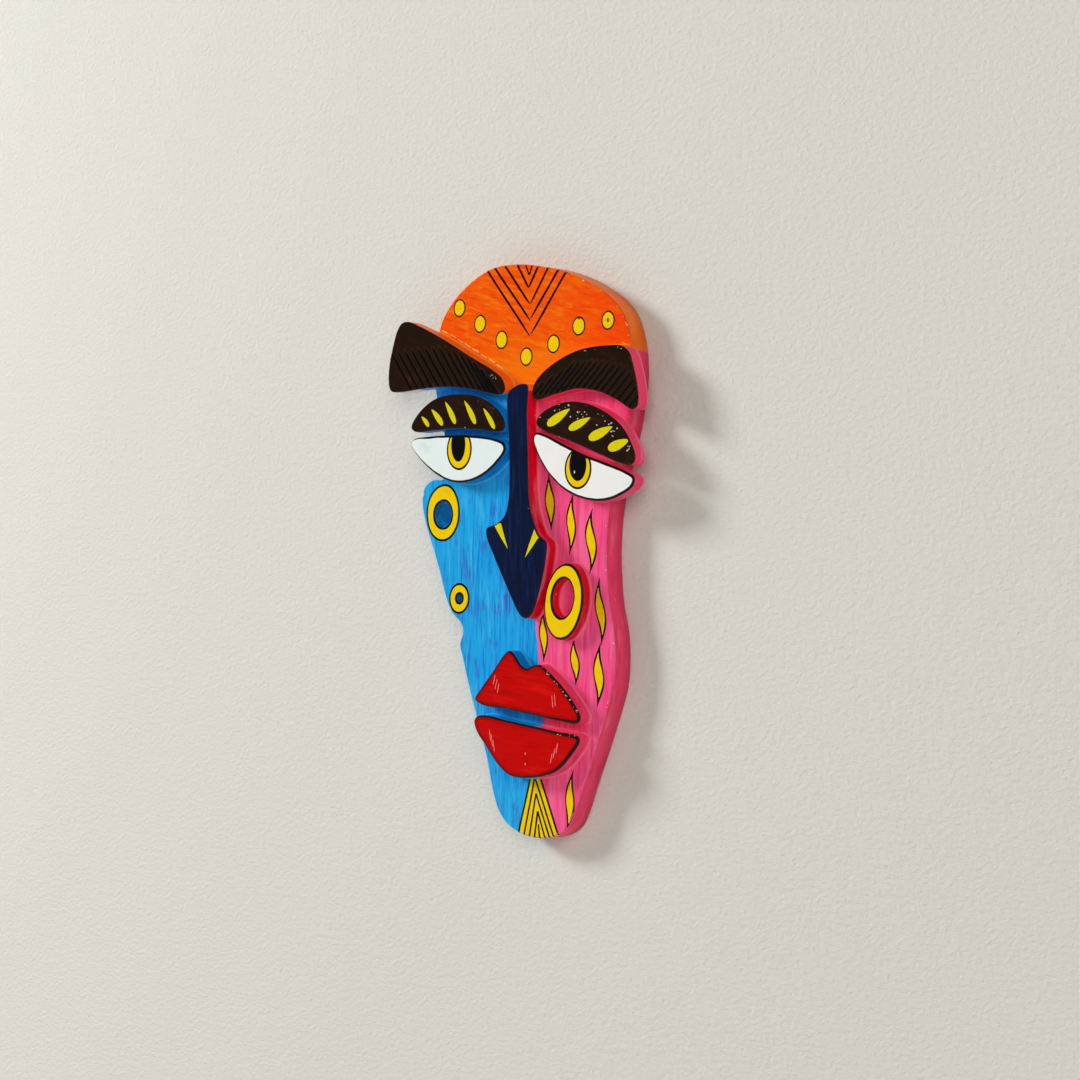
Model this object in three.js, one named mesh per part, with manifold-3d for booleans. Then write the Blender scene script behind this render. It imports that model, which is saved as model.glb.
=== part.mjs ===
// A carved and painted wooden wall mask, built from flat glued layers.
//
// Frame, in millimetres: +X to the right as seen from the front, +Y into the wall, +Z up.
// The origin is on the flat back, halfway up, on the vertical line that the mask hangs from.
// The board's back is the plane y = 0, and every layer is built from it towards -Y.

import * as THREE from 'three';
import { mergeVertices } from 'three/addons/utils/BufferGeometryUtils.js';
import Module from 'manifold-3d';

const wasm = await Module();
wasm.setup();

// ---------------------------------------------------------------- driving dimensions

const BOARD_THICKNESS = 12;
const RELIEF_THICKNESS = 7.7; // brows, lids, eyes, nose and lips
const RING_THICKNESS = 6.2; // the ring on the right cheek
const EDGE_ROUNDING = 0.9; // softened front edges
const POINTS_PER_SPAN = 4; // outline points between two of the control points below

const RING_TILT = THREE.MathUtils.degToRad(-12); // both ovals lean to the right
const RING_OUTER = { centre: [32.2, -28], halfWidth: 13.6, halfHeight: 19.6 };
const RING_INNER = { centre: [31.8, -26.2], halfWidth: 7.4, halfHeight: 10 };
const RING_POINTS = 48;

const POCKET_WIDTH = 24;
const POCKET_BOTTOM = 66; // z
const POCKET_TOP = 117;
const POCKET_DEPTH = 4.6;
const POCKET_CORNER = 5;

const HINGE_HEIGHT = 100; // z of the bar that the hanging ring turns on
const STRAP_WIDTH = 9;
const STRAP_THICKNESS = 0.8;
const STRAP_TAIL = 31; // from the hinge down to the strap's round end
const STRAP_CLEARANCE = 0.05; // under the strap
const EYE_INNER = 1.25; // inside radius of the strap's rolled eye
const WIRE_RADIUS = 0.9;
const WIRE_SIDES = 10;
const WIRE_BEND_STEPS = 4; // per half arc of the bent wire
const LOOP_HALF_WIDTH = 7.1; // centre line of the wire
const LOOP_CORNER = 1.5;
const LOOP_SHOULDER = 4; // where the sides turn into the round top

const SCREW_DROPS = { upper: 16, lower: 26 }; // below the hinge
const SCREW_HEAD_RADIUS = 2.75;
const SCREW_HEAD_HEIGHT = 1.6;
const SCREW_SHANK_RADIUS = 1.4;
const SCREW_LENGTH = 6.2; // under the head
const SCREW_TIP = 1.8;
const CROSS_LENGTH = 3;
const CROSS_WIDTH = 0.7;
const CROSS_DEPTH = 0.9;
const FIT_GAP = 0.3; // around a screw's shank
const ROUND_SEGMENTS = 24;
const CUTTER_SIZE = 400; // a block larger than the mask
const MERGE_DISTANCE = 1e-4; // corners closer than this are one corner

const HINGE_Y = -POCKET_DEPTH + STRAP_CLEARANCE + EYE_INNER + STRAP_THICKNESS;
const STRAP_TOP_Y = -POCKET_DEPTH + STRAP_CLEARANCE + STRAP_THICKNESS;

// ---------------------------------------------------------------- outlines, [x, z]
// Each one is the control points of a closed smooth curve, clockwise from the upper left.
// Two or three points close together make a tight corner.

const OUTLINES = {
  face_board: [
    [-71.5, 95], [-70.5, 108], [-66, 124], [-57, 134.5], [-43, 143.5], [-26, 149.2],
    [-8, 149.3], [10, 146.3], [28, 141.5], [45, 134], [59, 125.5], [68, 116.5],
    [72.5, 106], [75, 92], [74.5, 78], [71, 61], [65, 42], [59, 22],
    [56.5, 3], [56.5, -12], [58, -28], [61.5, -44], [62.2, -57], [61, -70],
    [57, -82], [49.5, -100], [41, -119], [34.5, -134], [29.5, -142.3], [22, -147],
    [10.5, -149.3], [-1, -148.5], [-13, -144.5], [-20.5, -138], [-25.5, -127.5], [-30, -111],
    [-36, -94], [-42.5, -77], [-49, -57.5], [-51.2, -50], [-49.6, -45.5], [-49, -41.5],
    [-51.5, -37.6], [-57.5, -33], [-63, -23], [-68, -9], [-74.5, 6], [-79.5, 18.5],
    [-81.3, 28], [-79, 35.5], [-73, 38.8], [-65.5, 38.9], [-61.6, 41.5], [-61.8, 50],
    [-64.5, 66], [-69.5, 82],
  ],
  brow_left: [
    [-94, 121], [-90.5, 125], [-85.5, 125.7], [-76, 122.5], [-56, 113.3], [-35, 102.3],
    [-16.5, 92.8], [-10.5, 88], [-8.8, 83], [-11, 80.6], [-18, 81.2], [-32, 84.4],
    [-52, 87.4], [-72, 88], [-92, 87.5], [-99, 88.8], [-100.8, 93.5], [-100, 104],
    [-97.5, 112.5],
  ],
  brow_right: [
    [13, 76], [11, 79], [12.5, 84], [18, 89.2], [31, 95.5], [46, 99.3],
    [64, 99.8], [74, 98.7], [79.3, 95], [82, 88.5], [85.2, 75], [84.8, 68],
    [81, 66.5], [71, 71.7], [58, 77], [43, 79.4], [29, 77.9],
  ],
  eyelid_left: [
    [-82, 67.5], [-79, 72.5], [-70, 79], [-60, 82.5], [-46, 83.2], [-30, 81],
    [-18, 75.5], [-10, 68], [-8.6, 63.5], [-11.5, 61.2], [-28, 63], [-47, 64.7],
    [-66, 64.8], [-79, 65.1],
  ],
  eyelid_right: [
    [14, 64], [17, 68.2], [26, 71.9], [38, 73.4], [51, 71.2], [63.5, 66],
    [74.5, 58.2], [80.5, 50], [83.4, 42.2], [81, 39.1], [74, 40], [58, 45.8],
    [38, 53.4], [19, 59.9],
  ],
  eye_left: [
    [-82.2, 58.5], [-79.8, 61], [-70, 61.8], [-50, 61.5], [-32, 60.2], [-17, 57.7],
    [-9.5, 54.7], [-8.5, 51.5], [-14.5, 45.2], [-25, 39], [-37, 36], [-50, 36.6],
    [-63, 41.8], [-75.5, 50.6],
  ],
  eye_right: [
    [11.8, 56.5], [14, 59], [21, 57.4], [32, 52.7], [47, 46.3], [63, 41],
    [77, 36], [82.6, 32.5], [81.5, 28.7], [74, 24.7], [63, 22.1], [50, 23],
    [36, 27.8], [24, 36.5], [14.5, 48.5],
  ],
  nose: [
    [-6.7, 80.5], [-3, 83.5], [4, 85], [8, 83.5], [7.5, 70], [8.2, 50],
    [9, 26], [11.5, 15.5], [16, 6.5], [21.5, 2.2], [21, -6], [16.5, -22],
    [11.5, -33.5], [7, -36.5], [2.5, -35], [-7, -21], [-18, -2.5], [-22.8, 6.5],
    [-22.6, 11], [-16, 12.9], [-9.5, 17], [-6.3, 26], [-5.7, 50],
  ],
  upper_lip: [
    [-31.5, -78.5], [-28, -74], [-18, -64], [-9, -54.7], [-5.5, -53], [-2, -55],
    [3.5, -60.8], [7.5, -62], [11.5, -60.6], [16, -60], [22, -63], [32, -70.4],
    [40.5, -78.8], [45.6, -86], [44, -89], [31, -88.5], [11, -85.7], [-10, -83.1],
    [-26, -81.5],
  ],
  lower_lip: [
    [-32, -90], [-29.5, -87.4], [-21, -87.1], [-9, -88.9], [10, -91.3], [30, -93.9],
    [43, -95.5], [45, -97.7], [39, -105.5], [29.5, -113.3], [19, -116.7], [2, -118.3],
    [-6.5, -117], [-14.5, -111.8], [-24, -102], [-30, -95.5],
  ],
};

// ---------------------------------------------------------------- materials

function material(color, roughness, metalness = 0) {
  return new THREE.MeshStandardMaterial({ color, roughness, metalness });
}

const PAINT = {
  board: material(0x35a3dc, 0.45),
  dark: material(0x2a180c, 0.5),
  eye: material(0xe9eeea, 0.4),
  nose: material(0x0d1b3a, 0.4),
  ring: material(0xf0cf1a, 0.45),
  lip: material(0xbf0a0a, 0.4),
};
const STEEL = material(0xb9bcc0, 0.35, 0.9);

// ---------------------------------------------------------------- geometry helpers

// A shape drawn in x and z, extruded towards -Y.
const TO_FRONT = new THREE.Matrix4().makeBasis(
  new THREE.Vector3(1, 0, 0),
  new THREE.Vector3(0, 0, 1),
  new THREE.Vector3(0, -1, 0),
);

// A shape drawn in y and z, extruded towards +X.
const TO_SIDE = new THREE.Matrix4().makeBasis(
  new THREE.Vector3(0, 1, 0),
  new THREE.Vector3(0, 0, 1),
  new THREE.Vector3(1, 0, 0),
);

function smoothShape(points) {
  const knots = points.map(([x, z]) => new THREE.Vector3(x, z, 0));
  const curve = new THREE.CatmullRomCurve3(knots, true, 'centripetal');
  const outline = curve.getPoints(points.length * POINTS_PER_SPAN).slice(0, -1);
  return new THREE.Shape(outline.map((p) => new THREE.Vector2(p.x, p.y)));
}

function ovalPoints({ centre, halfWidth, halfHeight }, clockwise) {
  const turn = 2 * Math.PI;
  const oval = new THREE.EllipseCurve(...centre, halfWidth, halfHeight, 0, turn, clockwise, RING_TILT);
  return oval.getPoints(RING_POINTS).slice(0, -1);
}

function roundedRectangle(left, right, bottom, top, corner) {
  const quarter = Math.PI / 2;
  const shape = new THREE.Shape();
  shape.absarc(right - corner, bottom + corner, corner, -quarter, 0, false);
  shape.absarc(right - corner, top - corner, corner, 0, quarter, false);
  shape.absarc(left + corner, top - corner, corner, quarter, 2 * quarter, false);
  shape.absarc(left + corner, bottom + corner, corner, 2 * quarter, 3 * quarter, false);
  return shape;
}

function toSolid(geometry) {
  const bare = geometry.index ? geometry.toNonIndexed() : geometry.clone();
  bare.deleteAttribute('normal');
  bare.deleteAttribute('uv');
  const merged = mergeVertices(bare, MERGE_DISTANCE);
  return new wasm.Manifold(new wasm.Mesh({
    numProp: 3,
    vertProperties: new Float32Array(merged.attributes.position.array),
    triVerts: new Uint32Array(merged.index.array),
  }));
}

function toGeometry(solid) {
  const mesh = solid.getMesh();
  const geometry = new THREE.BufferGeometry();
  geometry.setAttribute('position', new THREE.BufferAttribute(mesh.vertProperties, mesh.numProp));
  geometry.setIndex(new THREE.BufferAttribute(mesh.triVerts, 1));
  return geometry;
}

// A flat piece from the plane y = back to the front, its front edge softened and its back square.
function plate(shape, back, thickness) {
  const rounded = new THREE.ExtrudeGeometry(shape, {
    depth: thickness,
    steps: 1,
    curveSegments: ROUND_SEGMENTS / 4,
    bevelEnabled: true,
    bevelSegments: 2,
    bevelThickness: EDGE_ROUNDING,
    bevelSize: EDGE_ROUNDING,
    bevelOffset: -EDGE_ROUNDING,
  });
  rounded.applyMatrix4(TO_FRONT);
  rounded.translate(0, back + EDGE_ROUNDING, 0);
  const behind = new THREE.BoxGeometry(CUTTER_SIZE, CUTTER_SIZE, CUTTER_SIZE);
  behind.translate(0, back + CUTTER_SIZE / 2, 0);
  return toSolid(rounded).subtract(toSolid(behind));
}

// A straight-sided prism from the plane y = back towards -Y.
function prism(shape, back, depth) {
  const straight = new THREE.ExtrudeGeometry(shape, {
    depth,
    steps: 1,
    curveSegments: ROUND_SEGMENTS / 4,
    bevelEnabled: false,
  });
  straight.applyMatrix4(TO_FRONT);
  straight.translate(0, back, 0);
  return toSolid(straight);
}

// A round hole along Y, open from y = front to y = back.
function hole(radius, z, front, back) {
  const cylinder = new THREE.CylinderGeometry(radius, radius, back - front, ROUND_SEGMENTS);
  cylinder.translate(0, (front + back) / 2, z);
  return toSolid(cylinder);
}

// ---------------------------------------------------------------- the pieces

const group = new THREE.Group();

function add(name, geometry, paint) {
  const mesh = new THREE.Mesh(geometry, paint);
  mesh.name = name;
  group.add(mesh);
  return mesh;
}

function faceBoard() {
  const half = POCKET_WIDTH / 2;
  const pocketShape = roundedRectangle(-half, half, POCKET_BOTTOM, POCKET_TOP, POCKET_CORNER);
  const open = 1; // the cutters start outside the back
  let board = plate(smoothShape(OUTLINES.face_board), 0, BOARD_THICKNESS);
  board = board.subtract(prism(pocketShape, open, POCKET_DEPTH + open));
  for (const drop of Object.values(SCREW_DROPS)) {
    const end = STRAP_TOP_Y - SCREW_LENGTH - FIT_GAP;
    board = board.subtract(hole(SCREW_SHANK_RADIUS + FIT_GAP, HINGE_HEIGHT - drop, end, open));
  }
  return toGeometry(board);
}

function reliefPiece(name) {
  const shape = smoothShape(OUTLINES[name]);
  return toGeometry(plate(shape, -BOARD_THICKNESS, RELIEF_THICKNESS));
}

function cheekRing() {
  const shape = new THREE.Shape(ovalPoints(RING_OUTER, false));
  shape.holes.push(new THREE.Path(ovalPoints(RING_INNER, true)));
  return toGeometry(plate(shape, -BOARD_THICKNESS, RING_THICKNESS));
}

// Strip steel, one end rolled into an open eye around the ring's bar, the other end round.
function hangerStrap() {
  const outer = EYE_INNER + STRAP_THICKNESS;
  const lip = THREE.MathUtils.degToRad(-120); // where the rolled end stops
  const profile = new THREE.Shape();
  profile.moveTo(-outer, -STRAP_TAIL);
  profile.lineTo(-outer, 0);
  profile.absarc(0, 0, outer, Math.PI, lip, true);
  profile.absarc(0, 0, EYE_INNER, lip, Math.PI, false);
  profile.lineTo(-EYE_INNER, -STRAP_TAIL);
  const rolled = new THREE.ExtrudeGeometry(profile, {
    depth: STRAP_WIDTH,
    steps: 1,
    curveSegments: ROUND_SEGMENTS / 2,
    bevelEnabled: false,
  });
  rolled.applyMatrix4(TO_SIDE);
  rolled.translate(-STRAP_WIDTH / 2, HINGE_Y, HINGE_HEIGHT);

  const half = STRAP_WIDTH / 2;
  const end = HINGE_HEIGHT - STRAP_TAIL;
  const plan = new THREE.Shape();
  plan.absarc(0, end + half, half, Math.PI, 2 * Math.PI, false);
  plan.lineTo(half, HINGE_HEIGHT + STRAP_TAIL);
  plan.lineTo(-half, HINGE_HEIGHT + STRAP_TAIL);
  let strap = toSolid(rolled).intersect(prism(plan, 1, 2 * POCKET_DEPTH));
  for (const drop of Object.values(SCREW_DROPS)) {
    strap = strap.subtract(hole(SCREW_SHANK_RADIUS + FIT_GAP, HINGE_HEIGHT - drop, -POCKET_DEPTH - 1, 1));
  }
  return toGeometry(strap);
}

// A closed wire bent to a D: a straight bar, two sides and a round top, rising from the hinge.
function hangerRing() {
  const inner = LOOP_HALF_WIDTH - LOOP_CORNER;
  const quarter = Math.PI / 2;
  const centreLine = new THREE.Path();
  centreLine.absarc(inner, LOOP_CORNER, LOOP_CORNER, -quarter, 0, false);
  centreLine.absarc(0, LOOP_SHOULDER, LOOP_HALF_WIDTH, 0, 2 * quarter, false);
  centreLine.absarc(-inner, LOOP_CORNER, LOOP_CORNER, 2 * quarter, 3 * quarter, false);
  const line = centreLine.getPoints(WIRE_BEND_STEPS);

  const positions = [];
  const indices = [];
  for (let i = 0; i < line.length; i++) {
    const before = line[(i + line.length - 1) % line.length];
    const after = line[(i + 1) % line.length];
    const along = after.clone().sub(before).normalize();
    for (let k = 0; k < WIRE_SIDES; k++) {
      const angle = (2 * Math.PI * k) / WIRE_SIDES;
      const sideways = WIRE_RADIUS * Math.cos(angle);
      positions.push(
        line[i].x + along.y * sideways,
        HINGE_Y + WIRE_RADIUS * Math.sin(angle),
        HINGE_HEIGHT + line[i].y - along.x * sideways,
      );
      const j = ((i + 1) % line.length) * WIRE_SIDES;
      const next = (k + 1) % WIRE_SIDES;
      indices.push(i * WIRE_SIDES + k, i * WIRE_SIDES + next, j + k);
      indices.push(i * WIRE_SIDES + next, j + next, j + k);
    }
  }
  const geometry = new THREE.BufferGeometry();
  geometry.setAttribute('position', new THREE.Float32BufferAttribute(positions, 3));
  geometry.setIndex(indices);
  return geometry;
}

// A dome-head wood screw with a cross recess, pointing towards -Y.
function hangerScrew(drop) {
  const domeSteps = 5;
  const profile = [new THREE.Vector2(0, -SCREW_LENGTH)];
  profile.push(new THREE.Vector2(SCREW_SHANK_RADIUS, -SCREW_LENGTH + SCREW_TIP));
  profile.push(new THREE.Vector2(SCREW_SHANK_RADIUS, 0));
  for (let i = 0; i < domeSteps; i++) {
    const angle = ((Math.PI / 2) * i) / domeSteps;
    const radius = SCREW_HEAD_RADIUS * Math.cos(angle);
    profile.push(new THREE.Vector2(radius, SCREW_HEAD_HEIGHT * Math.sin(angle)));
  }
  profile.push(new THREE.Vector2(0, SCREW_HEAD_HEIGHT));
  let screw = toSolid(new THREE.LatheGeometry(profile, ROUND_SEGMENTS));
  for (const [sizeX, sizeZ] of [[CROSS_LENGTH, CROSS_WIDTH], [CROSS_WIDTH, CROSS_LENGTH]]) {
    const slot = new THREE.BoxGeometry(sizeX, 2 * CROSS_DEPTH, sizeZ);
    slot.translate(0, SCREW_HEAD_HEIGHT, 0);
    screw = screw.subtract(toSolid(slot));
  }
  const geometry = toGeometry(screw);
  geometry.translate(0, STRAP_TOP_Y, HINGE_HEIGHT - drop);
  return geometry;
}

add('face_board', faceBoard(), PAINT.board);
for (const name of ['brow_left', 'brow_right', 'eyelid_left', 'eyelid_right']) {
  add(name, reliefPiece(name), PAINT.dark);
}
add('eye_left', reliefPiece('eye_left'), PAINT.eye);
add('eye_right', reliefPiece('eye_right'), PAINT.eye);
add('nose', reliefPiece('nose'), PAINT.nose);
add('upper_lip', reliefPiece('upper_lip'), PAINT.lip);
add('lower_lip', reliefPiece('lower_lip'), PAINT.lip);
add('cheek_ring', cheekRing(), PAINT.ring);
add('hanger_strap', hangerStrap(), STEEL);
add('hanger_ring', hangerRing(), STEEL);
add('hanger_screw_upper', hangerScrew(SCREW_DROPS.upper), STEEL);
add('hanger_screw_lower', hangerScrew(SCREW_DROPS.lower), STEEL);

export default group;
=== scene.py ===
"""The looks of a carved and painted wooden wall mask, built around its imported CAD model.

Design sizes are in millimetres, in the CAD frame: +X right, +Y into the wall, +Z up.
Meshes are scaled to metres as they are made.
"""

import math
import random

import bmesh
import bpy
import numpy as np
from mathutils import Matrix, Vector, geometry, noise


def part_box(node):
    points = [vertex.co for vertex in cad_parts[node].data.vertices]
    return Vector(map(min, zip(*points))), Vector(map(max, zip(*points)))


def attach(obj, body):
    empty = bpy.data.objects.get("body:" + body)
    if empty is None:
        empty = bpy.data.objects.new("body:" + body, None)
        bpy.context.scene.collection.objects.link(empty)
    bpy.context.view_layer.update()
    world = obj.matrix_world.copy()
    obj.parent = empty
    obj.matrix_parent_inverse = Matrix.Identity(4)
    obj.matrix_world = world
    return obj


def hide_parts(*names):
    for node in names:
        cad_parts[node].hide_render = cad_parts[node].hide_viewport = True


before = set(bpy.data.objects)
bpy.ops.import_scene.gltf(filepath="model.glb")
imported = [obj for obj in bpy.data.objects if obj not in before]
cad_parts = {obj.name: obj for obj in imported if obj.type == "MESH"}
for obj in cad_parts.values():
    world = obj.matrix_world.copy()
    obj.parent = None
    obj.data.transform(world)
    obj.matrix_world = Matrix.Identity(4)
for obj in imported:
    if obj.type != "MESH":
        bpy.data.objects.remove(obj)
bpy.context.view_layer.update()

MM = 0.001


# ---------------------------------------------------------------- sizes read from the frame

def plane(node, end):
    """The y, in mm, of a CAD node's front ("front") or back ("back")."""
    low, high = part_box(node)
    return (low.y if end == "front" else high.y) / MM


EDGE_ROUNDING = 0.9
BOARD_FRONT = plane("face_board", "front")
POCKET_FLOOR = plane("hanger_strap", "front") - 0.05
SCREW_HOLE_END = plane("hanger_screw_upper", "front") - 0.3


def linked(name, data):
    """A new object in the scene."""
    piece = bpy.data.objects.new(name, data)
    bpy.context.scene.collection.objects.link(piece)
    return piece


# ---------------------------------------------------------------- plane geometry, in x and z

def evenly(points, spacing):
    """The same closed line with evenly spaced points."""
    line = np.vstack([points, points[:1]])
    distance = np.concatenate([[0], np.cumsum(np.linalg.norm(np.diff(line, axis=0), axis=1))])
    count = max(8, int(round(distance[-1] / spacing)))
    at = np.linspace(0, distance[-1], count + 1)[:-1]
    return np.stack([np.interp(at, distance, line[:, i]) for i in (0, 1)], axis=1)


CURVE_STEPS = 8  # between two points that a smooth loop runs through


def smooth_loop(points, spacing):
    """The closed centripetal Catmull-Rom curve through points, evenly spaced."""
    p1 = np.asarray(points, float)
    p0, p2, p3 = np.roll(p1, 1, 0), np.roll(p1, -1, 0), np.roll(p1, -2, 0)
    pairs = ((p0, p1), (p1, p2), (p2, p3))
    gap = [np.sqrt(np.linalg.norm(b - a, axis=1, keepdims=True)) for a, b in pairs]
    t1, t2 = gap[0], gap[0] + gap[1]
    t3 = t2 + gap[2]
    rows = []
    for step in range(CURVE_STEPS):
        t = t1 + (t2 - t1) * step / CURVE_STEPS
        a1 = (t1 - t) / t1 * p0 + t / t1 * p1
        a2 = (t2 - t) / (t2 - t1) * p1 + (t - t1) / (t2 - t1) * p2
        a3 = (t3 - t) / (t3 - t2) * p2 + (t - t2) / (t3 - t2) * p3
        b1 = (t2 - t) / t2 * a1 + t / t2 * a2
        b2 = (t3 - t) / (t3 - t1) * a2 + (t - t1) / (t3 - t1) * a3
        rows.append((t2 - t) / (t2 - t1) * b1 + (t - t1) / (t2 - t1) * b2)
    return evenly(np.stack(rows, axis=1).reshape(-1, 2), spacing)


def area(loop):
    """The area inside a loop, below 0 where it runs clockwise."""
    x, z = loop[:, 0], loop[:, 1]
    return 0.5 * float(np.sum(x * np.roll(z, -1) - np.roll(x, -1) * z))


def turned(loop, anticlockwise):
    return loop if (area(loop) > 0) == anticlockwise else loop[::-1]


def outward(loop):
    """Unit normals that point away from the material: to the right of the way the loop runs."""
    way = np.roll(loop, -1, 0) - np.roll(loop, 1, 0)
    way /= np.maximum(np.linalg.norm(way, axis=1, keepdims=True), 1e-6)
    return np.stack([way[:, 1], -way[:, 0]], axis=1)


SMALLEST = 1e-12  # stands for 0 where something is divided by it


def crossing(loop):
    """The first two sides of a loop that cross, and the point where they do, or None."""
    side = np.roll(loop, -1, 0) - loop
    between = loop[None] - loop[:, None]
    turn = side[:, None, 0] * side[None, :, 1] - side[:, None, 1] * side[None, :, 0]
    turn[np.abs(turn) < SMALLEST] = SMALLEST
    t = (between[..., 0] * side[None, :, 1] - between[..., 1] * side[None, :, 0]) / turn
    u = (between[..., 0] * side[:, None, 1] - between[..., 1] * side[:, None, 0]) / turn
    apart = np.triu(np.ones(turn.shape, bool), 2)
    apart[0, -1] = False
    hits = np.argwhere(apart & (t >= 0) & (t <= 1) & (u >= 0) & (u <= 1))
    if not len(hits):
        return None
    i, j = hits[0]
    return i, j, loop[i] + t[i, j] * side[i]


SHORTEST_SIDE = 0.01


def uncrossed(loop):
    """The loop without the small ends that lie beyond a point where it crosses itself."""
    while len(loop) > 3:
        found = crossing(loop)
        if found is None:
            break
        i, j, point = found
        pinched = loop[i + 1:j + 1]
        rest = np.vstack([loop[:i + 1], loop[j + 1:]])
        if len(pinched) > len(rest):
            loop = np.vstack([point, pinched])
        else:
            loop = np.insert(rest, i + 1, point, axis=0)
        sides = np.linalg.norm(np.roll(loop, -1, 0) - loop, axis=1)
        loop = loop[sides > SHORTEST_SIDE]
    return loop


def drawn_in(loop, amount):
    """The loop moved inward by amount, or by less where it is too narrow for that."""
    for share in (1, 0.5, 0.25, 0.1):
        inner = loop - outward(loop) * amount * share
        if crossing(inner) is None:
            return inner
    return loop


def inside(points, loops):
    """Which points lie inside an odd number of the loops."""
    hits = np.zeros(len(points), int)
    for loop in loops:
        for (x0, z0), (x1, z1) in zip(loop, np.roll(loop, -1, 0)):
            if z0 == z1:
                continue
            crosses = (points[:, 1] > min(z0, z1)) & (points[:, 1] <= max(z0, z1))
            hits += crosses & (points[:, 0] < x0 + (points[:, 1] - z0) * (x1 - x0) / (z1 - z0))
    return hits % 2 == 1


BATCH = 2000  # points looked at together, which keeps the arrays small


def clearance(points, loops):
    """Each point's distance to the nearest loop."""
    nearest = np.full(len(points), np.inf)
    for loop in loops:
        span = np.roll(loop, -1, 0) - loop
        for start in range(0, len(points), BATCH):
            batch = slice(start, start + BATCH)
            p = points[batch, None, :]
            t = np.clip(((p - loop) * span).sum(-1) / (span * span).sum(-1), 0, 1)
            gap = np.linalg.norm(loop + t[..., None] * span - p, axis=-1).min(1)
            nearest[batch] = np.minimum(nearest[batch], gap)
    return nearest


def grid(loops, across, down, angle=0.0):
    """A staggered grid over the loops' box, its rows turned by angle."""
    corners = np.vstack(loops)
    turn = np.array([[math.cos(angle), -math.sin(angle)], [math.sin(angle), math.cos(angle)]])
    local = corners @ turn
    low, high = local.min(0), local.max(0)
    rows = []
    for k, z in enumerate(np.arange(low[1], high[1], down)):
        x = np.arange(low[0] + (k % 2) * across / 2, high[0], across)
        rows.append(np.stack([x, np.full(len(x), z)], axis=1))
    return np.vstack(rows) @ turn.T


def fill(loops, extra):
    """Triangles between the loops. They number the loops' points first, then the extra ones."""
    loops = [loop.astype(np.float32).astype(float) for loop in loops]
    points = np.vstack(loops + [extra.astype(np.float32)])
    links, start = [], 0
    for loop in loops:
        n = len(loop)
        links += [(start + i, start + (i + 1) % n) for i in range(n)]
        start += n
    _, _, faces, source, _, _ = geometry.delaunay_2d_cdt([Vector(p) for p in points], links, [], 0, 1e-6)
    index = [s[0] if s else None for s in source]
    triangles = np.array([[index[v] for v in f] for f in faces if all(index[v] is not None for v in f)])
    return triangles[inside(points[triangles].mean(1), loops)].tolist()


ON_PLANE = 0.02  # mm off the plane that still count as on it
FLAT_EDGE = 0.01  # radians between two faces that count as one


def cad_loops(node, y, spacing):
    """The smooth closed outlines that a CAD node has on the plane y, the longest first."""
    mesh = bmesh.new()
    mesh.from_mesh(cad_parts[node].data)
    bmesh.ops.remove_doubles(mesh, verts=mesh.verts, dist=0.002 * MM)
    links = {}
    for edge in mesh.edges:
        if len(edge.link_faces) != 2 or edge.calc_face_angle(0) < FLAT_EDGE:
            continue
        a, b = edge.verts
        if all(abs(end.co.y - y * MM) < ON_PLANE * MM for end in (a, b)):
            links.setdefault(a, []).append(b)
            links.setdefault(b, []).append(a)
    loops = []
    while links:
        first = here = next(iter(links))
        loop = []
        while here in links:
            loop.append((here.co.x / MM, here.co.z / MM))
            ahead = [v for v in links.pop(here) if v in links]
            here = ahead[0] if ahead else first
        loops.append(smooth_loop(loop, spacing))
    mesh.free()
    loops.sort(key=len, reverse=True)
    return [turned(loop, i == 0) for i, loop in enumerate(loops)]


# ---------------------------------------------------------------- the carver's hand

def soft(x, z, size, seed):
    """Smooth seeded noise, about -1 to 1, with features of that size in mm."""
    return noise.noise(Vector((x / size, z / size, seed)))


LONG_WAVES, LONG_SIZE = 0.16, 34
SHORT_WAVES, SHORT_SIZE = 0.05, 9


def hand_carved(x, z):
    """How far, in mm, the flat faces lie under their plane."""
    waves = LONG_WAVES + LONG_WAVES * soft(x, z, LONG_SIZE, 3.1)
    return waves + SHORT_WAVES * soft(x, z, SHORT_SIZE, 8.7)


def segment(point, a, b):
    """Distance from points to the stretch a-b, and how far along it they are, 0 to 1."""
    a, b = np.array(a, float), np.array(b, float)
    t = np.clip((point - a) @ (b - a) / ((b - a) @ (b - a)), 0, 1)
    return np.linalg.norm(point - (a + t[:, None] * (b - a)), axis=1), t


GROOVE_WIDTH = 0.85
GROOVE_DEPTH = 0.45


def left_groove(i):
    """A cut of the left brow, from its faint upper end. The row of them bends down to the nose."""
    x = -99.5 + 5.5 * i
    top = 111.5 - 0.0105 * max(0, x + 66) ** 2
    fall = top - 85 + 0.35 * i
    return (x, top), (x + 0.76 * fall, top - fall)


def right_groove(i):
    """A cut of the right brow, from its faint upper end. The first and last are shorter."""
    x = 13 + 4.05 * i
    foot = 79 - 0.0055 * max(0, x - 30) ** 2
    share = min(1, 0.4 + 0.2 * i, 0.5 + 0.14 * (16 - i))
    return (x + 17.5 * share, foot + 15 * share), (x, foot)


GROOVES = {
    "brow_left": [left_groove(i) for i in range(15)],
    "brow_right": [right_groove(i) for i in range(17)],
}


def grooves(node, points):
    """Groove strength, 0 to 1, at each point of a brow."""
    strength = np.zeros(len(points))
    for a, b in GROOVES[node]:
        gap, t = segment(points, a, b)
        strength = np.maximum(strength, np.exp(-(gap / GROOVE_WIDTH) ** 2) * np.clip(t * 5, 0, 1))
    return strength


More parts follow.
